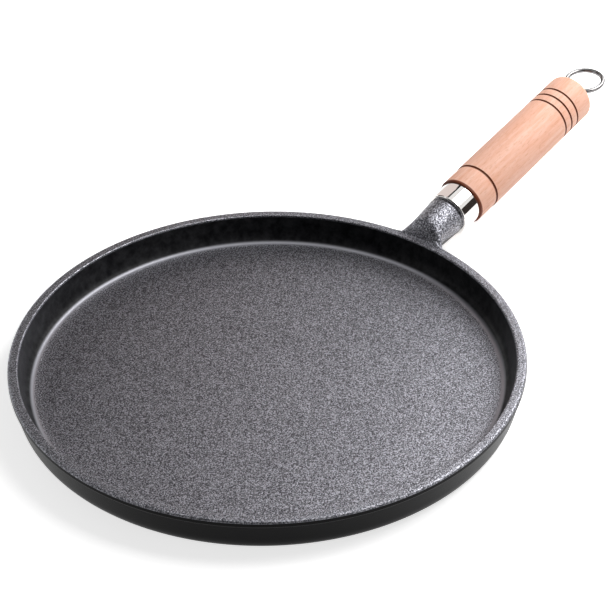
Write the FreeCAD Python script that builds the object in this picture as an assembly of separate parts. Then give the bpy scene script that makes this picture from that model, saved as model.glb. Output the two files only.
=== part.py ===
import FreeCAD
import Part
import math
import os

# Cast iron frying pan with a turned wooden handle and a hanging ring.
# Sizes are in millimetres. The origin is the centre of the underside, +Z is up and the handle points along +X.

Vector = FreeCAD.Vector

# Pan: a shallow round dish with leaning walls and a thicker lip round its mouth
rim_radius = 130.6
pan_height = 21.0
rim_wall = 5.1
floor_thickness = 5.5
wall_lean = 11.0  # degrees from upright, the same inside and outside
floor_corner_radius = 7.0
base_corner_radius = 7.0
rim_edge_radius = 1.3
inner_edge_radius = 0.8
lip_height = 3.0
lip_step = 0.7  # the wall under the lip is set in by this much
lip_rounding = 0.7

# Line of the handle, which rises from the rim
handle_rise = 10.5  # degrees
axis_above_rim = 0.1  # where the line crosses the rim's outer edge

# Stub: a cast horn that starts wide and flat-topped in the wall and turns round towards its end
stub_length = 22.4
stub_end_radius = 11.55
stub_neck_radius = 10.6
stub_neck_reach = 4.4  # from the rim's outer edge to the place where the stub is round
stub_root_reach = 6.0  # from the rim's outer edge inwards to the place where it is widest
stub_bury = 10.0
stub_root_width = 44.0
stub_root_depth = 12.8  # underside of the root below the line of the handle
stub_root_sink = 1.5  # top of the root below the rim
stub_root_squareness = 3.6
stub_flare_power = 1.7  # how fast the root's flare falls off
stub_edge_radius = 1.0
stub_seam_radius = 0.8

# Ferrule: a drawn cup, closed side against the stub
ferrule_radius = 13.1
ferrule_length = 13.1
ferrule_wall = 0.8
ferrule_corner_radius = 1.8

# Wooden handle
wood_length = 112.5
wood_radius = 14.4
wood_front_radius = 14.1
wood_front_edge = 0.7
wood_end_round = 3.0
groove_setback = 15.4  # from each end of the wood
groove_pitch = 6.08
groove_count = 3  # near the far end, with one more near the ferrule
groove_radius = 0.55
tenon_clearance = 0.15
tenon_end_gap = 0.5
counterbore_radius = 8.0
counterbore_depth = 3.6

# Tie rod with its collar and flat eye
rod_radius = 3.0
rod_bore_clearance = 0.3
thread_clearance = 0.05
thread_length = 13.0
thread_end_gap = 1.5
rod_end_chamfer = 0.6
drill_point_angle = 118.0  # degrees
collar_radius = 5.0
collar_thickness = 2.0
collar_edge = 0.4
eye_radius = 3.9
eye_thickness = 2.6
eye_stand_off = 5.8  # centre of the eye beyond the end of the wood

# Washer under the collar
washer_radius = 7.4
washer_thickness = 1.2
washer_clearance = 0.2

# Hanging ring
ring_wire_radius = 1.35
ring_radius = 10.8  # to the middle of the wire
ring_clearance = 0.65
ring_droop = 2.1  # degrees below the line of the handle
ring_slip = 8.7  # degrees that the ring has turned sideways in its eye

cut_overrun = 2.0

# Places that follow from the sizes
inner_rim_radius = rim_radius - rim_wall
lean_slope = math.tan(math.radians(wall_lean))
wall_top_height = pan_height - lip_height - lip_step
wall_top_radius = rim_radius - lip_step
base_radius = wall_top_radius - wall_top_height * lean_slope
pan_depth = pan_height - floor_thickness
floor_radius = inner_rim_radius - pan_depth * lean_slope
rise_slope = math.tan(math.radians(handle_rise))
handle_origin = Vector(rim_radius, 0, pan_height + axis_above_rim)
handle_place = FreeCAD.Placement(handle_origin, FreeCAD.Rotation(Vector(0, 1, 0), -handle_rise))
wood_start = stub_length + ferrule_length
wood_end = wood_start + wood_length
counterbore_floor = wood_end - counterbore_depth
collar_start = counterbore_floor + washer_thickness
eye_centre = wood_end + eye_stand_off
rod_bore_radius = rod_radius + rod_bore_clearance
neck_centre = handle_origin + Vector(stub_neck_reach, 0, stub_neck_reach * rise_slope)

# Stations of the horn's root between its widest place (0) and its round neck (1)
root_shares = (0.0, 0.22, 0.4, 0.6, 0.8, 1.0)
section_points = 32

# Places of the round sections between the neck (0) and the stub's end (1)
neck_shares = (0.12, 0.28, 0.45, 0.65, 0.85, 1.0)


def blend(start, end, share):
    return start + (end - start) * share


def ease(share):
    """Share that leaves 0 and reaches 1 without a kink."""
    return share * share * (3 - 2 * share)


def toward(start, end, distance):
    return start + (end - start).normalize() * distance


def rounded_face(corners):
    """Flat face in the XZ plane from corners given as (x, z, rounding), in order round the outline."""
    points = [Vector(x, 0, z) for x, z, rounding in corners]
    edges = []
    first = None
    last = None
    for number, (x, z, rounding) in enumerate(corners):
        here = points[number]
        before = points[number - 1]
        after = points[(number + 1) % len(points)]
        arrive = here
        leave = here
        if rounding:
            half_turn = (before - here).getAngle(after - here) / 2
            arrive = toward(here, before, rounding / math.tan(half_turn))
            leave = toward(here, after, rounding / math.tan(half_turn))
            middle = ((arrive + leave) / 2 - here).normalize()
            crown = here + middle * (rounding / math.sin(half_turn) - rounding)
        if last is not None:
            edges.append(Part.LineSegment(last, arrive).toShape())
        if rounding:
            edges.append(Part.Arc(arrive, crown, leave).toShape())
        if first is None:
            first = arrive
        last = leave
    edges.append(Part.LineSegment(last, first).toShape())
    return Part.Face(Part.Wire(edges))


def turned_upright(corners):
    """Solid of revolution about the pan's centre line, from corners (radius, height, rounding)."""
    return rounded_face(corners).revolve(Vector(0, 0, 0), Vector(0, 0, 1), 360)


def turned(corners):
    """Solid of revolution about the handle's line, from corners (distance, radius, rounding)."""
    return rounded_face(corners).revolve(Vector(0, 0, 0), Vector(1, 0, 0), 360)


def rod_shape(radius, start, end):
    return Part.makeCylinder(radius, end - start, Vector(start, 0, 0), Vector(1, 0, 0))


def cavity():
    """Inside of the pan, with a straight extension above the rim."""
    return turned_upright(
        (
            (0, floor_thickness, 0),
            (floor_radius, floor_thickness, floor_corner_radius),
            (inner_rim_radius, pan_height, 0),
            (inner_rim_radius, pan_height + stub_length, 0),
            (0, pan_height + stub_length, 0),
        )
    )


def outer_body():
    """The round pan before it is hollowed."""
    return turned_upright(
        (
            (0, 0, 0),
            (base_radius, 0, base_corner_radius),
            (wall_top_radius, wall_top_height, lip_rounding),
            (rim_radius, pan_height - lip_height, lip_rounding),
            (rim_radius, pan_height, rim_edge_radius),
            (0, pan_height, 0),
        )
    )


def horn_section(centre, tilt, half_width, half_height, squareness):
    """Closed section of the horn: a flat-topped oval that becomes a circle as squareness falls to 2."""
    power = 2 / squareness
    across = Vector(0, 1, 0)
    up = Vector(-math.sin(math.radians(tilt)), 0, math.cos(math.radians(tilt)))
    points = []
    for step in range(section_points):
        angle = 2 * math.pi * step / section_points
        side = math.copysign(abs(math.cos(angle)) ** power, math.cos(angle))
        rise = math.copysign(abs(math.sin(angle)) ** power, math.sin(angle))
        points.append(centre + across * (half_width * side) + up * (half_height * rise))
    curve = Part.BSplineCurve()
    curve.interpolate(Points=points, PeriodicFlag=True)
    return Part.Wire(curve.toShape())


def root_section(x, share):
    """Upright section of the horn where its root has turned round by a share."""
    line_height = handle_origin.z + (x - rim_radius) * rise_slope
    flare = (1 - share) ** stub_flare_power
    top = blend(pan_height - stub_root_sink, neck_centre.z + stub_neck_radius, ease(share))
    bottom = line_height - blend(stub_neck_radius, stub_root_depth, flare)
    half_width = blend(stub_neck_radius, stub_root_width / 2, flare)
    squareness = blend(stub_root_squareness, 2, ease(share))
    return horn_section(Vector(x, 0, (top + bottom) / 2), 0, half_width, (top - bottom) / 2, squareness)


def horn():
    """Cast stub from inside the pan's wall to the flat face that carries the ferrule."""
    end_centre = handle_place.multVec(Vector(stub_length, 0, 0))
    sections = [root_section(rim_radius - stub_bury, 0)]
    for share in root_shares:
        x = blend(rim_radius - stub_root_reach, neck_centre.x, share)
        sections.append(root_section(x, share))
    for share in neck_shares:
        centre = neck_centre + (end_centre - neck_centre) * share
        radius = blend(stub_neck_radius, stub_end_radius, share)
        sections.append(horn_section(centre, handle_rise * share, radius, radius, 2))
    stub = Part.makeLoft(sections, True, False)
    end_edges = [edge for edge in stub.Edges if edge.CenterOfMass.distanceToPoint(end_centre) < stub_edge_radius]
    return stub.makeFillet(stub_edge_radius, end_edges)


def tapped_hole():
    """Blind hole in the stub for the tie rod, with the cone that a drill leaves."""
    radius = rod_radius + thread_clearance
    depth = thread_length + thread_end_gap
    point_depth = radius / math.tan(math.radians(drill_point_angle / 2))
    hole = turned(
        (
            (stub_length + cut_overrun, 0, 0),
            (stub_length + cut_overrun, radius, 0),
            (stub_length - depth, radius, 0),
            (stub_length - depth - point_depth, 0, 0),
        )
    )
    hole.Placement = handle_place
    return hole


def pan_casting():
    """The dish and its stub in one casting, hollowed, drilled and with its edges rounded."""
    casting = outer_body().fuse(horn()).cut(cavity()).cut(tapped_hole())
    circles = [edge for edge in casting.Edges if isinstance(edge.Curve, Part.Circle)]
    inner_rim = [edge for edge in circles if math.isclose(edge.Curve.Radius, inner_rim_radius)]
    casting = casting.makeFillet(inner_edge_radius, inner_rim)
    curves = [edge for edge in casting.Edges if isinstance(edge.Curve, Part.BSplineCurve)]
    horn_seam = [edge for edge in curves if edge.BoundBox.XMax < rim_radius]
    return casting.makeFillet(stub_seam_radius, horn_seam)


def ferrule():
    inner_radius = ferrule_radius - ferrule_wall
    inner_start = stub_length + ferrule_wall
    cup = turned(
        (
            (stub_length, rod_bore_radius, 0),
            (stub_length, ferrule_radius, ferrule_corner_radius),
            (wood_start, ferrule_radius, 0),
            (wood_start, inner_radius, 0),
            (inner_start, inner_radius, ferrule_corner_radius - ferrule_wall),
            (inner_start, rod_bore_radius, 0),
        )
    )
    cup.Placement = handle_place
    return cup


def groove(distance, radius):
    """Ring that leaves a round-bottomed groove in the wood."""
    return Part.makeTorus(radius, groove_radius, Vector(distance, 0, 0), Vector(1, 0, 0))


def wooden_handle():
    tenon_radius = ferrule_radius - ferrule_wall - tenon_clearance
    tenon_start = stub_length + ferrule_wall + tenon_end_gap
    front_groove = wood_start + groove_setback
    handle = turned(
        (
            (tenon_start, rod_bore_radius, 0),
            (tenon_start, tenon_radius, ferrule_corner_radius - ferrule_wall),
            (wood_start, tenon_radius, 0),
            (wood_start, wood_front_radius, wood_front_edge),
            (front_groove, wood_front_radius, 0),
            (front_groove, wood_radius, 0),
            (wood_end, wood_radius, wood_end_round),
            (wood_end, counterbore_radius, 0),
            (counterbore_floor, counterbore_radius, 0),
            (counterbore_floor, rod_bore_radius, 0),
        )
    )
    grooves = [groove(front_groove, wood_radius)]
    for number in range(groove_count):
        grooves.append(groove(wood_end - groove_setback - groove_pitch * number, wood_radius))
    handle = handle.cut(grooves)
    handle.Placement = handle_place
    return handle


def tie_rod():
    """Rod with a collar that bears on the washer and a flat drilled eye beyond it."""
    rod_start = stub_length - thread_length
    collar_end = collar_start + collar_thickness
    turned_rod = turned(
        (
            (rod_start, 0, 0),
            (rod_start, rod_radius - rod_end_chamfer, 0),
            (rod_start + rod_end_chamfer, rod_radius, 0),
            (collar_start, rod_radius, 0),
            (collar_start, collar_radius, 0),
            (collar_end, collar_radius, collar_edge),
            (collar_end, 0, 0),
        )
    )
    side = Vector(0, -eye_thickness / 2, 0)
    neck_corner = Vector(collar_start, 0, -rod_radius) + side
    neck = Part.makeBox(eye_centre - collar_start, eye_thickness, 2 * rod_radius, neck_corner)
    disc = Part.makeCylinder(eye_radius, eye_thickness, Vector(eye_centre, 0, 0) + side, Vector(0, 1, 0))
    hole_radius = ring_wire_radius + ring_clearance
    hole = Part.makeCylinder(hole_radius, eye_thickness, Vector(eye_centre, 0, 0) + side, Vector(0, 1, 0))
    rod = turned_rod.fuse([neck, disc]).cut(hole)
    rod.Placement = handle_place
    return rod


def end_washer():
    washer = rod_shape(washer_radius, counterbore_floor, collar_start)
    hole = rod_shape(rod_radius + washer_clearance, counterbore_floor - cut_overrun, collar_start + cut_overrun)
    washer = washer.cut(hole)
    washer.Placement = handle_place
    return washer


def hanging_ring():
    """Wire ring through the eye, drooping a little and slipped round sideways as it lies in its eye."""
    ring = Part.makeTorus(ring_radius, ring_wire_radius, Vector(ring_radius, 0, 0), Vector(0, 0, 1))
    ring.rotate(Vector(0, 0, 0), Vector(0, 0, 1), ring_slip)
    ring.rotate(Vector(0, 0, 0), Vector(0, 1, 0), ring_droop)
    ring.translate(Vector(eye_centre, 0, 0))
    ring.Placement = handle_place.multiply(ring.Placement)
    return ring


def main():
    os.makedirs("parts", exist_ok=True)
    makers = (pan_casting, ferrule, wooden_handle, tie_rod, end_washer, hanging_ring)
    for maker in makers:
        shape = maker()
        shape.exportStep("parts/" + maker.__name__ + ".step")
        print(maker.__name__, "solids", len(shape.Solids), "valid", shape.isValid(), "volume", round(shape.Volume, 1))
    eye = handle_place.multVec(Vector(eye_centre, 0, 0))
    print("eye centre", round(eye.x, 4), round(eye.y, 4), round(eye.z, 4))


main()
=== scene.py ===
from functools import partial
import math

import bmesh
import bpy
from mathutils import Euler, Matrix, Quaternion, Vector


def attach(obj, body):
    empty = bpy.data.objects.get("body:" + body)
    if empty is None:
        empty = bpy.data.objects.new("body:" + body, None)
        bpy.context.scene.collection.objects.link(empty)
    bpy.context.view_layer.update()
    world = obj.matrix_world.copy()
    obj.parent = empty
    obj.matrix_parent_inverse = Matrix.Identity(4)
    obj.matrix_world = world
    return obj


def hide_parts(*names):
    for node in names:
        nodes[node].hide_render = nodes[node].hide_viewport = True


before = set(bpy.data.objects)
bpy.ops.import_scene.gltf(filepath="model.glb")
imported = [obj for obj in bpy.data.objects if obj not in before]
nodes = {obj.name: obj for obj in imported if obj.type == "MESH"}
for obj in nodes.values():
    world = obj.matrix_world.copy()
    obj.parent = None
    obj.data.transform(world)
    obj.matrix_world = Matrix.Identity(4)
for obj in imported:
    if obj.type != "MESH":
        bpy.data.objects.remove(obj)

# Cast iron frying pan with a turned wooden handle, in metres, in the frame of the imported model.
mm = 0.001

# Camera: a view from above the pan's near rim, with the handle rising to the right behind the pan
camera_azimuth = -49.76  # degrees, 0 looks along +Y
camera_elevation = 35.215
camera_roll = -0.707
camera_distance = 938.9 * mm
camera_aim = Vector((40.66, 8.59, 21.0)) * mm
sensor_width = 36.0
camera_lens = 105.88

# Pan, as in the model
rim_radius = 130.6 * mm
pan_height = 21.0 * mm
inner_rim_radius = 125.5 * mm
floor_height = 5.5 * mm
lean_slope = math.tan(math.radians(11))
floor_corner_radius = 7.0 * mm
base_corner_radius = 7.0 * mm
rim_edge_radius = 1.3 * mm
inner_edge_radius = 0.8 * mm
lip_height = 3.0 * mm
lip_step = 0.7 * mm
lip_rounding = 0.7 * mm

# Mesh of the pan, before its subdivision
pan_columns = 144
pan_subdivisions = 2
flat_rings = (55 * mm, 100 * mm)  # radii of the rings that divide the flat base and floor
rim_top_ring = inner_rim_radius + 1.6 * mm  # radius of the ring that divides the rim's flat top
inner_wall_ring = 4 * mm  # depth of the ring that divides the inner wall
window_base = 9.3 * mm  # the stub is drawn out of a window in the outer wall and the rim
window_middle = 13.3 * mm  # height of the ring that divides the outer wall there
window_top_radius = rim_radius - 1.9 * mm
window_half_columns = 3
wall_middle_radius = inner_rim_radius + 2 * mm  # between the wall's inner and outer faces
rim_top_margin = 0.05 * mm

# Line of the handle
handle_rise = math.radians(10.5)
rise_slope = math.tan(handle_rise)
handle_origin = Vector((rim_radius, 0, pan_height + 0.1 * mm))
handle_place = Matrix.Translation(handle_origin) @ Euler((0, -handle_rise, 0)).to_matrix().to_4x4()

# Stub, as in the model but for a wider flare at its root
stub_length = 22.4 * mm
stub_end_radius = 11.55 * mm
stub_neck_radius = 10.6 * mm
stub_neck_reach = 4.4 * mm
stub_root_reach = 6.0 * mm
stub_root_half_width = 26.0 * mm
stub_root_depth = 12.8 * mm
stub_root_sink = 1.5 * mm
stub_wing_power = 1.5
stub_flare_power = 1.7
stub_root_shares = (0.42, 0.58, 0.78, 1.0)
stub_neck_shares = (0.25, 0.5, 0.75)
stub_edge_radius = 1.0 * mm
stub_hole_radius = 3.05 * mm
stub_hole_depth = 14.5 * mm

# Ferrule, as in the model but for a sharper corner
ferrule_radius = 13.1 * mm
ferrule_length = 13.1 * mm
ferrule_wall = 0.8 * mm
ferrule_corner_radius = 0.9 * mm
bore_radius = 3.3 * mm

# Wooden handle
wood_start = stub_length + ferrule_length
wood_length = 112.5 * mm
wood_end = wood_start + wood_length
wood_radius = 14.4 * mm
wood_front_radius = 14.1 * mm
wood_front_edge = 0.7 * mm
wood_end_round = 3.0 * mm
tenon_radius = 12.15 * mm
tenon_edge = 1.0 * mm
tenon_start = stub_length + 1.3 * mm
groove_setback = 15.4 * mm
groove_pitch = 6.08 * mm
groove_count = 3
groove_radius = 0.55 * mm
groove_floor_share = 0.4
groove_lip_rounding = 0.12 * mm
groove_floor_rounding = 0.1 * mm
counterbore_radius = 8.0 * mm
counterbore_edge = 0.3 * mm
counterbore_floor = wood_end - 3.6 * mm

# Hanging ring
eye_centre = wood_end + 5.8 * mm
ring_wire_radius = 1.35 * mm
ring_radius = 10.8 * mm
ring_droop = math.radians(2.1)
ring_slip = math.radians(8.7)

# Meshes
turned_steps = 160
ring_steps = 128
wire_segments = 32
crease_angle = math.radians(30)
merge_distance = 0.002 * mm

# Zones of the iron's finish: where each starts, and where it is full
worn_radius = 120.3 * mm  # inside it the floor and its corner are grey
worn_fade = 0.9 * mm
pebble_radius = 118.2 * mm  # inside it the floor is pebbled
pebble_fade = 0.8 * mm
rim_skin_start = pan_height - 1.3 * mm
rim_skin_full = pan_height - 0.8 * mm
parting_height = handle_origin.z - rim_radius * rise_slope
stub_skin_start = parting_height - 1.4 * mm
stub_skin_full = parting_height - 0.4 * mm
stub_root_start = rim_radius - 1.0 * mm
stub_root_full = rim_radius + 0.5 * mm
seam_start = stub_length - 0.5 * mm  # the skin stops short of the ferrule
seam_full = stub_length - 1.1 * mm
inner_face_radius = 123 * mm  # with the lean of the wall taken off
outer_face_radius = 125 * mm

# Patterns of the iron. Real sand grit is finer, and is drawn as coarse as it needs to show.
pebble_size = 0.64 * mm
pebble_height = 0.26 * mm
stub_pebble_size = 0.85 * mm
stub_pebble_height = 0.38 * mm
grit_size = 0.34 * mm
grit_share = 0.35
worn_relief = 0.16  # share of the pebbles' relief that is left where the iron is rubbed smooth
stain_size = 5.0 * mm

# Patterns of the wood
streak_width = 2.2 * mm
streak_stretch = 0.1  # width over length
streak_height = 0.15 * mm
fleck_width = 0.55 * mm
fleck_stretch = 0.16
fleck_share = 0.36
burn_start = wood_start + 1.9 * mm
burn_full = wood_start + 1.3 * mm
groove_burn = 1.3 * groove_radius

# Patterns of the steel. Real polishing scratches are finer, and are drawn as coarse as they need to show.
fine_scratch = 0.3 * mm
drawn_scratch = 0.4 * mm
scratch_stretch = 0.1
scratch_height = 0.01 * mm

# Colours
# Pits painted darker and peaks paler: painted shade in the pits, painted glints on the peaks, with some bare
# iron rubbed on the peaks
iron_pit_painted_shade = "#343438"
iron_skin = "#6a6a6f"
iron_peak_wear_and_glint = "#acacb4"
iron_rubbed = "#88888e"
# Inner walls painted paler than the outer face of the same oiled iron: painted light inside, painted shade
# outside; the mottling inside is real staining
iron_wall_dark = "#131315"
iron_wall_pale = "#2d2d2f"
iron_outside_painted_shade = "#09090b"
wood_dark = "#e4a98e"
wood_middle = "#eab59d"
wood_pale = "#efc2ae"
wood_fleck = "#cb8a6c"
wood_burnt = "#6c2f12"
ferrule_steel = "#e6e3e0"
# The ring's polished stainless is painted darker than the ferrule's: painted shade for the dark reflections
# along the wire
ring_steel_painted_dark = "#828080"
rod_steel = "#b4b4b4"
washer_steel = "#b0b0b0"
paper_dark = "#f0f0f0"
paper_pale = "#f4f4f4"

# Sockets of a colour Mix node
mix_share = 0
mix_first = 6
mix_second = 7
mix_result = 2

# Studio
key_power = 5.0  # watts
side_power = 2.0
fill_power = 1.6
room_light = 0.12
paper_lift = 0.72
paper_fibre = 2 * mm
mirror_lean = 0.508  # share of the handle's line in what the ferrule mirrors to the camera

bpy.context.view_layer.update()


def linear(code):
    """sRGB hex colour as linear RGBA."""
    shares = [int(code[i:i + 2], 16) / 255 for i in (1, 3, 5)]
    return [s / 12.92 if s <= 0.04045 else ((s + 0.055) / 1.055) ** 2.4 for s in shares] + [1.0]


def add(tree, kind, feeds=None, stops=(), **settings):
    """Adds one node with its settings. An input is fed a value, a socket or a node's first output."""
    node = tree.nodes.new(kind)
    for name, value in settings.items():
        setattr(node, name, value)
    for name, value in (feeds or {}).items():
        if isinstance(value, bpy.types.Node):
            value = value.outputs[0]
        if isinstance(value, bpy.types.NodeSocket):
            tree.links.new(value, node.inputs[name])
        else:
            node.inputs[name].default_value = value
    for number, (place, code) in enumerate(stops):
        elements = node.color_ramp.elements
        element = elements[number] if number < 2 else elements.new(place)
        element.position = place
        element.color = linear(code)
    return node


def new_material(name):
    material = bpy.data.materials.new(name)
    material.use_nodes = True
    material.node_tree.nodes.clear()
    return material


def dress(obj, material):
    """Puts a material on a new piece or a CAD node."""
    if not obj.data.materials:
        obj.data.materials.append(material)
    for slot in obj.material_slots:
        slot.link = "OBJECT"
        slot.material = material


def along_handle(tree):
    """Object coordinates turned into the handle's line: X along it from the rim, Y and Z across it."""
    place = add(tree, "ShaderNodeTexCoord").outputs["Object"]
    return add(tree, "ShaderNodeMapping",
               {"Vector": place, "Location": handle_origin, "Rotation": (0, -handle_rise, 0)},
               vector_type="TEXTURE")


def cast_iron():
    """Seasoned cast iron, sand cast.

    The floor, the rim and the top of the stub have a pebbled grey skin. The corner of the floor is rubbed
    smooth and pale. The walls are smoother and black with oil, and stained inside; the inner walls are
    painted paler than the outer face, as painted light inside and painted shade outside."""
    material = new_material("cast_iron_sand_cast")
    tree = material.node_tree
    place = add(tree, "ShaderNodeTexCoord").outputs["Object"]
    axes = add(tree, "ShaderNodeSeparateXYZ", {"Vector": place})
    to_handle = axes.outputs["X"]
    height = axes.outputs["Z"]
    flat_place = add(tree, "ShaderNodeMapping", {"Vector": place, "Scale": (1, 1, 0)})
    radius = add(tree, "ShaderNodeVectorMath", {0: flat_place}, operation="LENGTH").outputs["Value"]
    above_parting = add(tree, "ShaderNodeMath", {0: to_handle, 1: -rise_slope, 2: height},
                        operation="MULTIPLY_ADD")
    along = add(tree, "ShaderNodeSeparateXYZ", {"Vector": along_handle(tree)}).outputs["X"]

    # Zones, each 0 at its first value and 1 at its second
    zones = []
    for value, start, full in (
            (radius, worn_radius + worn_fade, worn_radius - worn_fade),
            (radius, pebble_radius + pebble_fade, pebble_radius - pebble_fade),
            (height, rim_skin_start, rim_skin_full),
            (above_parting, stub_skin_start, stub_skin_full),
            (to_handle, stub_root_start, stub_root_full),
            (along, seam_start, seam_full)):
        zones.append(add(tree, "ShaderNodeMapRange", {"Value": value, "From Min": start, "From Max": full},
                         interpolation_type="SMOOTHSTEP"))
    worn_floor, rough_floor, on_rim, on_top, outside, before_seam = zones
    on_stub = add(tree, "ShaderNodeMath", {0: on_top, 1: outside}, operation="MULTIPLY")
    on_stub = add(tree, "ShaderNodeMath", {0: on_stub, 1: before_seam}, operation="MULTIPLY")
    rim_or_stub = add(tree, "ShaderNodeMath", {0: on_rim, 1: on_stub}, operation="MAXIMUM")
    skin = add(tree, "ShaderNodeMath", {0: worn_floor, 1: rim_or_stub}, operation="MAXIMUM")
    pebbled = add(tree, "ShaderNodeMath", {0: rough_floor, 1: rim_or_stub}, operation="MAXIMUM")

    # Pebbles, larger and higher on the stub, with finer sand grit on them
    pebbles = add(tree, "ShaderNodeTexNoise",
                  {"Vector": place, "Scale": 1 / pebble_size, "Detail": 2.0, "Roughness": 0.6})
    stub_pebbles = add(tree, "ShaderNodeTexNoise",
                       {"Vector": place, "Scale": 1 / stub_pebble_size, "Detail": 2.0, "Roughness": 0.6})
    pebbles = add(tree, "ShaderNodeMix", {"Factor": on_stub, "A": pebbles, "B": stub_pebbles})
    grit = add(tree, "ShaderNodeTexNoise", {"Vector": place, "Scale": 1 / grit_size, "Detail": 1.0})
    relief = add(tree, "ShaderNodeMath", {0: grit, 1: grit_share, 2: pebbles}, operation="MULTIPLY_ADD")
    strength = add(tree, "ShaderNodeMapRange", {"Value": pebbled, "To Min": worn_relief, "To Max": 1.0})
    relief_height = add(tree, "ShaderNodeMapRange",
                        {"Value": on_stub, "To Min": pebble_height, "To Max": stub_pebble_height})
    bump = add(tree, "ShaderNodeBump", {"Height": relief, "Strength": strength, "Distance": relief_height})

    # Peaks paler and pits darker in the skin: partly bare iron rubbed on the peaks, partly painted glints on
    # the peaks and painted shade in the pits. Walls black with oil
    peaks = add(tree, "ShaderNodeValToRGB", {"Fac": pebbles},
                ((0.36, iron_pit_painted_shade), (0.5, iron_skin), (0.64, iron_peak_wear_and_glint)))
    skin_colour = add(tree, "ShaderNodeMix",
                      {mix_share: pebbled, mix_first: linear(iron_rubbed), mix_second: peaks},
                      data_type="RGBA")
    stains = add(tree, "ShaderNodeTexNoise",
                 {"Vector": place, "Scale": 1 / stain_size, "Detail": 4.0, "Roughness": 0.6})
    inside = add(tree, "ShaderNodeValToRGB", {"Fac": stains},
                 ((0.36, iron_wall_dark), (0.66, iron_wall_pale)))
    # The outer face gets a darker colour than the inner walls: painted shade outside, painted light inside
    upright_radius = add(tree, "ShaderNodeMath", {0: height, 1: -lean_slope, 2: radius},
                         operation="MULTIPLY_ADD")
    outer_face = add(tree, "ShaderNodeMapRange",
                     {"Value": upright_radius, "From Min": inner_face_radius, "From Max": outer_face_radius})
    wall_colour = add(tree, "ShaderNodeMix",
                      {mix_share: outer_face, mix_first: inside, mix_second: linear(iron_outside_painted_shade)},
                      data_type="RGBA")
    colour = add(tree, "ShaderNodeMix",
                 {mix_share: skin, mix_first: wall_colour.outputs[mix_result],
                  mix_second: skin_colour.outputs[mix_result]}, data_type="RGBA")
    rough = add(tree, "ShaderNodeMapRange", {"Value": skin, "To Min": 0.32, "To Max": 0.34})

    # The pores of the walls break up most of their gloss, so the specular level is low
    shader = add(tree, "ShaderNodeBsdfPrincipled",
                 {"Base Color": colour.outputs[mix_result], "Metallic": skin, "Roughness": rough,
                  "IOR": 1.5, "Specular IOR Level": 0.07, "Normal": bump})
    add(tree, "ShaderNodeOutputMaterial", {"Surface": shader})
    return material


def beech():
    """Steamed beech, turned and oiled: pink and softly glossy.

    It has short flecks and soft streaks along the grain, and its grooves and front edge are burnt brown."""
    material = new_material("beech_turned_oiled")
    tree = material.node_tree
    place = along_handle(tree)
    along = add(tree, "ShaderNodeSeparateXYZ", {"Vector": place}).outputs["X"]
    streak_place = add(tree, "ShaderNodeMapping", {"Vector": place, "Scale": (streak_stretch, 1, 1)})
    streaks = add(tree, "ShaderNodeTexNoise",
                  {"Vector": streak_place, "Scale": 1 / streak_width, "Detail": 3.0, "Roughness": 0.6})
    wood = add(tree, "ShaderNodeValToRGB", {"Fac": streaks},
               ((0.3, wood_dark), (0.5, wood_middle), (0.72, wood_pale)))
    fleck_place = add(tree, "ShaderNodeMapping", {"Vector": place, "Scale": (fleck_stretch, 1, 1)})
    flecks = add(tree, "ShaderNodeTexNoise", {"Vector": fleck_place, "Scale": 1 / fleck_width, "Detail": 1.0})
    in_fleck = add(tree, "ShaderNodeMapRange",
                   {"Value": flecks, "From Min": 0.58, "From Max": 0.68, "To Max": fleck_share})
    wood = add(tree, "ShaderNodeMix",
               {mix_share: in_fleck, mix_first: wood, mix_second: linear(wood_fleck)}, data_type="RGBA")
    burn = add(tree, "ShaderNodeMapRange", {"Value": along, "From Min": burn_start, "From Max": burn_full},
               interpolation_type="SMOOTHSTEP")
    for distance in groove_places():
        in_groove = add(tree, "ShaderNodeMath", {0: along, 1: distance, 2: groove_burn}, operation="COMPARE")
        burn = add(tree, "ShaderNodeMath", {0: burn, 1: in_groove}, operation="MAXIMUM")
    colour = add(tree, "ShaderNodeMix",
                 {mix_share: burn, mix_first: wood.outputs[mix_result], mix_second: linear(wood_burnt)},
                 data_type="RGBA")
    bump = add(tree, "ShaderNodeBump", {"Height": streaks, "Strength": 0.2, "Distance": streak_height})
    shader = add(tree, "ShaderNodeBsdfPrincipled",
                 {"Base Color": colour.outputs[mix_result], "Roughness": 0.55, "IOR": 1.5,
                  "Specular IOR Level": 0.3, "Normal": bump})
    add(tree, "ShaderNodeOutputMaterial", {"Surface": shader})
    return material


def polished_steel(name, code, roughness, scratch_width):
    """Steel polished on a wheel, or bright from drawing or stamping, with faint scratches round it."""
    material = new_material(name)
    tree = material.node_tree
    scratch_place = add(tree, "ShaderNodeMapping",
                        {"Vector": along_handle(tree), "Scale": (1, scratch_stretch, scratch_stretch)})
    scratches = add(tree, "ShaderNodeTexNoise",
                    {"Vector": scratch_place, "Scale": 1 / scratch_width, "Detail": 2.0})
    rough = add(tree, "ShaderNodeMapRange",
                {"Value": scratches, "To Min": roughness * 0.7, "To Max": roughness * 1.4})
    bump = add(tree, "ShaderNodeBump", {"Height": scratches, "Strength": 0.15, "Distance": scratch_height})
    shader = add(tree, "ShaderNodeBsdfPrincipled",
                 {"Base Color": linear(code), "Metallic": 1.0, "Roughness": rough, "Normal": bump})
    add(tree, "ShaderNodeOutputMaterial", {"Surface": shader})
    return material


def groove_places():
    """Distances of the burnt grooves along the handle's line."""
    places = [wood_start + groove_setback]
    for number in range(groove_count):
        places.append(wood_end - groove_setback - groove_pitch * number)
    return places


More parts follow.
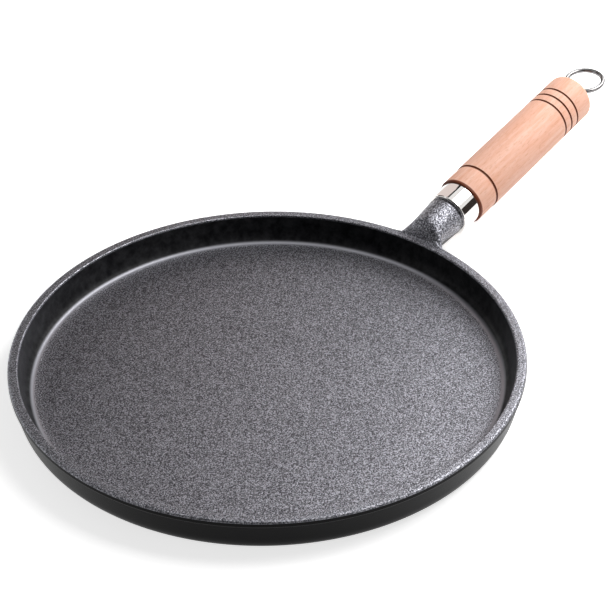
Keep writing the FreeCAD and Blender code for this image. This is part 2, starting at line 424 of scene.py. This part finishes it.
def wire_profile(bm, corners, segments):
    """Open wire in the XZ plane from corners (x, z, rounding), with its rounded corners bevelled."""
    verts = [bm.verts.new((x, 0, z)) for x, z, rounding in corners]
    for first, second in zip(verts, verts[1:]):
        bm.edges.new((first, second))
    rounded = []
    for number, (x, z, rounding) in enumerate(corners):
        if rounding:
            here = verts[number].co
            half_angle = (verts[number - 1].co - here).angle(verts[number + 1].co - here) / 2
            rounded.append((verts[number], rounding / math.tan(half_angle)))
    for vert, offset in rounded:
        bmesh.ops.bevel(bm, geom=[vert], offset=offset, offset_type="OFFSET", segments=segments,
                        profile=0.5, affect="VERTICES", material=-1)


def spin_round(bm, axis, steps):
    """Full turn of the whole wire round an axis through the origin."""
    bmesh.ops.spin(bm, geom=bm.verts[:] + bm.edges[:], axis=axis, cent=(0, 0, 0), dvec=(0, 0, 0),
                   angle=math.tau, steps=steps, use_merge=True)


def finish_mesh(bm, name, body, node, place=None, sharp_angle=None):
    """Turns a bmesh into a piece that rides on a body and stands for a node."""
    if place is not None:
        bmesh.ops.transform(bm, matrix=place, verts=bm.verts)
    bmesh.ops.remove_doubles(bm, verts=bm.verts, dist=merge_distance)
    bmesh.ops.recalc_face_normals(bm, faces=bm.faces)
    mesh = bpy.data.meshes.new(name)
    bm.to_mesh(mesh)
    bm.free()
    mesh.shade_smooth()
    if sharp_angle:
        mesh.set_sharp_from_angle(angle=sharp_angle)
    piece = bpy.data.objects.new(name, mesh)
    bpy.context.scene.collection.objects.link(piece)
    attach(piece, body)
    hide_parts(node)
    return piece


def turned_piece(name, corners, node, segments):
    """Piece turned on the handle's line, from corners (distance, radius, rounding)."""
    bm = bmesh.new()
    wire_profile(bm, [*corners, corners[0]], segments)
    spin_round(bm, (1, 0, 0), turned_steps)
    return finish_mesh(bm, name, "pan", node, handle_place, crease_angle)


def ease(share):
    """Share from 0 to 1 with a soft start and end."""
    return share * share * (3 - 2 * share)


def blend(start, end, share):
    return start + (end - start) * share


def oval_point(centre, tilt, half_width, half_height, angle):
    """Point of a stub section."""
    up = Vector((-math.sin(tilt), 0, math.cos(tilt)))
    return centre + Vector((0, half_width * math.cos(angle), 0)) + up * (half_height * math.sin(angle))


def root_point(share, angle):
    """Point of the stub's root between its widest section (0) and its round neck (1)."""
    x = blend(rim_radius - stub_root_reach, rim_radius + stub_neck_reach, share)
    line = handle_origin.z + (x - rim_radius) * rise_slope
    neck_top = handle_origin.z + stub_neck_reach * rise_slope + stub_neck_radius
    flare = (1 - share) ** stub_flare_power
    top = blend(pan_height - stub_root_sink, neck_top, ease(share))
    bottom = line - blend(stub_neck_radius, stub_root_depth, flare)
    wing = flare * abs(math.cos(angle)) ** stub_wing_power
    half_width = blend(stub_neck_radius, stub_root_half_width, wing)
    centre = Vector((x, 0, (top + bottom) / 2))
    return oval_point(centre, 0, half_width, (top - bottom) / 2, angle)


def neck_point(share, angle):
    """Point of the stub's round part between its neck (0) and its end (1)."""
    neck = handle_origin + Vector((stub_neck_reach, 0, stub_neck_reach * rise_slope))
    centre = neck.lerp(handle_place @ Vector((stub_length, 0, 0)), share)
    radius = blend(stub_neck_radius, stub_end_radius, share)
    return oval_point(centre, handle_rise * min(share * 2, 1), radius, radius, angle)


def end_point(back, radius, angle):
    """Point of a circle round the handle's line, some way back from the stub's end."""
    distance = stub_length - back
    return handle_place @ Vector((distance, radius * math.cos(angle), radius * math.sin(angle)))


def stub_rings():
    """Rings of the stub from its root over its end into its hole, each a function of the angle."""
    edge = stub_edge_radius
    rings = [partial(root_point, share) for share in stub_root_shares]
    rings += [partial(neck_point, share) for share in stub_neck_shares]
    for back, radius in (
            (2 * edge, stub_end_radius),
            (edge, stub_end_radius),
            (0.3 * edge, stub_end_radius - 0.3 * edge),
            (0, stub_end_radius - edge),
            (0, stub_end_radius - 2 * edge),
            (0, 1.3 * stub_hole_radius),
            (0, stub_hole_radius),
            (0.5 * edge, stub_hole_radius),
            (stub_hole_depth, stub_hole_radius)):
        rings.append(partial(end_point, back, radius))
    return rings


def spin_dish(bm):
    """Dish without its stub, from the middle of its base round the rim to the middle of its floor."""
    wall_top = pan_height - lip_height - lip_step
    wall_top_radius = rim_radius - lip_step
    near_ring, far_ring = flat_rings
    corners = (
        (0, 0, 0),
        (near_ring, 0, 0),
        (far_ring, 0, 0),
        (wall_top_radius - wall_top * lean_slope, 0, base_corner_radius),
        (wall_top_radius - (wall_top - window_base) * lean_slope, window_base, 0),
        (wall_top_radius - (wall_top - window_middle) * lean_slope, window_middle, 0),
        (wall_top_radius, wall_top, lip_rounding),
        (rim_radius, pan_height - lip_height, lip_rounding),
        (rim_radius, pan_height, rim_edge_radius),
        (window_top_radius, pan_height, 0),
        (rim_top_ring, pan_height, 0),
        (inner_rim_radius, pan_height, inner_edge_radius),
        (inner_rim_radius - inner_wall_ring * lean_slope, pan_height - inner_wall_ring, 0),
        (inner_rim_radius - (pan_height - floor_height) * lean_slope, floor_height, floor_corner_radius),
        (far_ring, floor_height, 0),
        (near_ring, floor_height, 0),
        (0, floor_height, 0),
    )
    wire_profile(bm, corners, segments=3)
    spin_round(bm, (0, 0, 1), pan_columns)
    bmesh.ops.remove_doubles(bm, verts=bm.verts, dist=merge_distance)


def cut_window(bm):
    """Takes out the part of the outer wall and the rim's edge that the stub grows from."""
    half_angle = window_half_columns * math.tau / pan_columns
    window = []
    for face in bm.faces:
        middle = face.calc_center_median()
        reach = math.hypot(middle.x, middle.y)
        in_sector = abs(math.atan2(middle.y, middle.x)) < half_angle
        on_outer_wall = reach > wall_middle_radius and middle.z < pan_height - rim_top_margin
        if in_sector and middle.z > window_base and (on_outer_wall or reach > window_top_radius):
            window.append(face)
    bmesh.ops.delete(bm, geom=window, context="FACES")


def draw_stub(bm):
    """Draws the edge of the window out through the stub's rings, and closes the bottom of its hole."""
    loop = [edge for edge in bm.edges if edge.is_boundary]
    verts = {vert for edge in loop for vert in edge.verts}
    lowest = min(vert.co.z for vert in verts)
    highest = max(vert.co.z for vert in verts)
    middle = (lowest + highest) / 2
    half_height = (highest - lowest) / 2
    half_width = max(vert.co.y for vert in verts)
    turn = {vert: math.atan2((vert.co.z - middle) / half_height, vert.co.y / half_width) for vert in verts}
    for ring in stub_rings():
        made = bmesh.ops.extrude_edge_only(bm, edges=loop)["geom"]
        loop = [item for item in made if isinstance(item, bmesh.types.BMEdge) and item.is_boundary]
        new_turn = {}
        for vert in made:
            if isinstance(vert, bmesh.types.BMVert):
                neighbours = [edge.other_vert(vert) for edge in vert.link_edges]
                source = [neighbour for neighbour in neighbours if neighbour in turn][0]
                new_turn[vert] = turn[source]
                vert.co = ring(turn[source])
        turn = new_turn
    bmesh.ops.contextual_create(bm, geom=loop)


def pan_piece():
    """The dish and its stub in one closed mesh, rounded by its subdivision."""
    bm = bmesh.new()
    spin_dish(bm)
    cut_window(bm)
    draw_stub(bm)
    piece = finish_mesh(bm, "pan_body", "pan", "pan_casting")
    rounding = piece.modifiers.new("rounding", "SUBSURF")
    rounding.levels = pan_subdivisions
    rounding.render_levels = pan_subdivisions
    return piece


def ferrule_piece():
    """Drawn cup with its closed side on the stub's end."""
    inner = ferrule_radius - ferrule_wall
    corners = (
        (stub_length, bore_radius, 0),
        (stub_length, ferrule_radius, ferrule_corner_radius),
        (wood_start, ferrule_radius, 0),
        (wood_start, inner, 0),
        (stub_length + ferrule_wall, inner, ferrule_corner_radius - ferrule_wall),
        (stub_length + ferrule_wall, bore_radius, 0),
    )
    return turned_piece("ferrule_cup", corners, "ferrule", segments=12)


def grip_piece():
    """The turned grip with its burnt grooves, its tenon in the ferrule and its counterbore."""
    groove_floor = wood_radius - groove_radius
    floor_half = groove_floor_share * groove_radius
    corners = [
        (tenon_start, bore_radius, 0),
        (tenon_start, tenon_radius, tenon_edge),
        (wood_start, tenon_radius, 0),
        (wood_start, wood_front_radius, wood_front_edge),
    ]
    for number, distance in enumerate(sorted(groove_places())):
        before = wood_front_radius if number == 0 else wood_radius
        corners += [
            (distance - groove_radius, before, groove_lip_rounding),
            (distance - floor_half, groove_floor, groove_floor_rounding),
            (distance + floor_half, groove_floor, groove_floor_rounding),
            (distance + groove_radius, wood_radius, groove_lip_rounding),
        ]
    corners += [
        (wood_end, wood_radius, wood_end_round),
        (wood_end, counterbore_radius, counterbore_edge),
        (counterbore_floor, counterbore_radius, 0),
        (counterbore_floor, bore_radius, 0),
    ]
    return turned_piece("wooden_grip", corners, "wooden_handle", segments=5)


def ring_piece():
    """Round wire ring with its near side in the rod's eye."""
    upright = Euler((math.pi / 2, 0, 0)).to_matrix().to_4x4()
    droop = Euler((0, ring_droop, 0)).to_matrix().to_4x4()
    slip = Euler((0, 0, ring_slip)).to_matrix().to_4x4()
    to_eye = Matrix.Translation((eye_centre, 0, 0))
    to_wire = Matrix.Translation((ring_radius, 0, 0))
    bm = bmesh.new()
    bmesh.ops.create_circle(bm, segments=wire_segments, radius=ring_wire_radius,
                            matrix=to_wire @ upright)
    spin_round(bm, (0, 0, 1), ring_steps)
    place = handle_place @ to_eye @ droop @ slip @ to_wire
    return finish_mesh(bm, "wire_ring", "ring", "hanging_ring", place)


def set_camera():
    """Camera on its line from the aim."""
    azimuth = math.radians(camera_azimuth)
    rise = math.radians(camera_elevation)
    back = Vector((
        math.sin(azimuth) * math.cos(rise),
        -math.cos(azimuth) * math.cos(rise),
        math.sin(rise)))
    data = bpy.data.cameras.new("camera")
    data.sensor_width = sensor_width
    data.lens = camera_lens
    camera = bpy.data.objects.new("camera", data)
    bpy.context.scene.collection.objects.link(camera)
    turn = (-back).to_track_quat("-Z", "Y") @ Quaternion((0, 0, 1), math.radians(camera_roll))
    camera.rotation_mode = "QUATERNION"
    camera.rotation_quaternion = turn
    camera.location = camera_aim + back * camera_distance
    bpy.context.scene.camera = camera


def around_handle(degrees, distance, slide=0.0):
    """Place of a lamp or card that faces the ferrule, turned round the handle's line from above it.

    The ferrule mirrors it to the camera. Its width runs along the handle, and its height round it."""
    turn = math.radians(degrees)
    axes = handle_place.to_3x3()
    along = axes @ Vector((1, 0, 0))
    above = axes @ Vector((0, 0, 1))
    side = Vector((0, -1, 0))
    across = above * math.cos(turn) + side * math.sin(turn)
    outward = along * mirror_lean + across * math.sqrt(1 - mirror_lean * mirror_lean)
    short = side * math.cos(turn) - above * math.sin(turn)
    long = short.cross(outward)
    turned = Matrix((long, short, outward)).transposed()
    ferrule_middle = handle_place @ Vector((stub_length + ferrule_length / 2, 0, 0))
    return Matrix.Translation(ferrule_middle + outward * distance + long * slide) @ turned.to_4x4()


def facing(place, aim):
    """Place of a lamp or card that stands at one point and faces another."""
    line = Vector(place) - Vector(aim)
    return Matrix.Translation(place) @ line.to_track_quat("Z", "Y").to_matrix().to_4x4()


def softbox(name, place, width, height, power):
    """Rectangular lamp."""
    data = bpy.data.lights.new(name, "AREA")
    data.shape = "RECTANGLE"
    data.size = width
    data.size_y = height
    data.energy = power
    lamp = bpy.data.objects.new(name, data)
    bpy.context.scene.collection.objects.link(lamp)
    lamp.matrix_world = place


def stage_sheet(name, place, width, height, material):
    """Flat rectangle of the studio, not part of the pan."""
    bm = bmesh.new()
    bmesh.ops.create_grid(bm, x_segments=1, y_segments=1, size=0.5)
    bmesh.ops.scale(bm, vec=(width, height, 1), verts=bm.verts)
    bmesh.ops.transform(bm, matrix=place, verts=bm.verts)
    mesh = bpy.data.meshes.new(name)
    bm.to_mesh(mesh)
    bm.free()
    sheet = bpy.data.objects.new(name, mesh)
    bpy.context.scene.collection.objects.link(sheet)
    dress(sheet, material)
    return sheet


def card(name, code, place, width, height):
    """Studio card that only shows in reflections."""
    material = new_material(name)
    tree = material.node_tree
    glow = add(tree, "ShaderNodeEmission", {"Color": linear(code)})
    add(tree, "ShaderNodeOutputMaterial", {"Surface": glow})
    sheet = stage_sheet(name, place, width, height, material)
    sheet.visible_camera = False
    sheet.visible_diffuse = False
    sheet.visible_shadow = False
    sheet.visible_transmission = False


def seen_rays(tree):
    """1 on the rays of the camera, of mirrors and of glass, 0 on those that light the pan."""
    path = add(tree, "ShaderNodeLightPath")
    seen = add(tree, "ShaderNodeMath",
               {0: path.outputs["Is Camera Ray"], 1: path.outputs["Is Glossy Ray"]}, operation="MAXIMUM")
    return add(tree, "ShaderNodeMath", {0: seen, 1: path.outputs["Is Transmission Ray"]},
               operation="MAXIMUM")


def studio_paper():
    """White paper that keeps the pan's shadow and is white where the camera, metal or glass sees it."""
    material = new_material("studio_paper")
    tree = material.node_tree
    lift = add(tree, "ShaderNodeMath", {0: seen_rays(tree), 1: paper_lift}, operation="MULTIPLY")
    place = add(tree, "ShaderNodeTexCoord").outputs["Object"]
    fibres = add(tree, "ShaderNodeTexNoise", {"Vector": place, "Scale": 1 / paper_fibre, "Detail": 2.0})
    paper = add(tree, "ShaderNodeValToRGB", {"Fac": fibres}, ((0.3, paper_dark), (0.7, paper_pale)))
    shader = add(tree, "ShaderNodeBsdfPrincipled",
                 {"Base Color": paper, "Roughness": 0.9, "Specular IOR Level": 0.0,
                  "Emission Color": (1, 1, 1, 1), "Emission Strength": lift})
    add(tree, "ShaderNodeOutputMaterial", {"Surface": shader})
    return material


def set_world():
    """Even room light that is white where the camera, metal or glass sees it."""
    world = bpy.data.worlds.new("studio")
    world.use_nodes = True
    tree = world.node_tree
    tree.nodes.clear()
    strength = add(tree, "ShaderNodeMapRange",
                   {"Value": seen_rays(tree), "To Min": room_light, "To Max": 1.0})
    background = add(tree, "ShaderNodeBackground", {"Color": (1, 1, 1, 1), "Strength": strength})
    add(tree, "ShaderNodeOutputWorld", {"Surface": background})
    bpy.context.scene.world = world


set_camera()

pan_body = pan_piece()
dress(pan_body, cast_iron())
ferrule_cup = ferrule_piece()
dress(ferrule_cup,
      polished_steel("stainless_steel_polished", ferrule_steel, roughness=0.05, scratch_width=fine_scratch))
wooden_grip = grip_piece()
dress(wooden_grip, beech())
wire_ring = ring_piece()
# Ring steel painted darker than the ferrule's same stainless: painted shade for its dark reflections
dress(wire_ring,
      polished_steel("stainless_wire_polished", ring_steel_painted_dark, roughness=0.15, scratch_width=fine_scratch))
dress(nodes["tie_rod"],
      polished_steel("steel_bright_drawn", rod_steel, roughness=0.28, scratch_width=drawn_scratch))
dress(nodes["end_washer"],
      polished_steel("steel_washer_stamped", washer_steel, roughness=0.3, scratch_width=drawn_scratch))

# Studio, in metres: white paper, three lamps, and the boards and cards that the steel mirrors
stage_sheet("studio_floor", Matrix(), width=8.0, height=8.0, material=studio_paper())
softbox("key", around_handle(23.5, 0.8), width=0.5, height=0.5, power=key_power)
softbox("side", facing((0.58, -0.05, 0.40), (0.02, 0, 0)), width=0.35, height=0.35, power=side_power)
softbox("fill", facing((0.25, 1.15, 0.30), (0.2, 0, 0.03)), width=0.7, height=0.4, power=fill_power)
card("dark_board", "#3a3432", around_handle(81, 1.3), width=0.6, height=0.64)
card("box_frame", "#2a2626", around_handle(-24, 0.8), width=0.5, height=0.11)
card("black_flag", "#0c0c0c", around_handle(-58, 1.35, slide=0.90), width=2.4, height=1.2)
card("dark_room", "#221f1e", facing((-1.1, -0.5, 0.6), (0, 0, 0)), width=3.0, height=2.0)
card("grey_board", "#f4e6e2", around_handle(-58.5, 0.5), width=0.16, height=0.5)
set_world()
bpy.context.scene.view_settings.view_transform = "Standard"
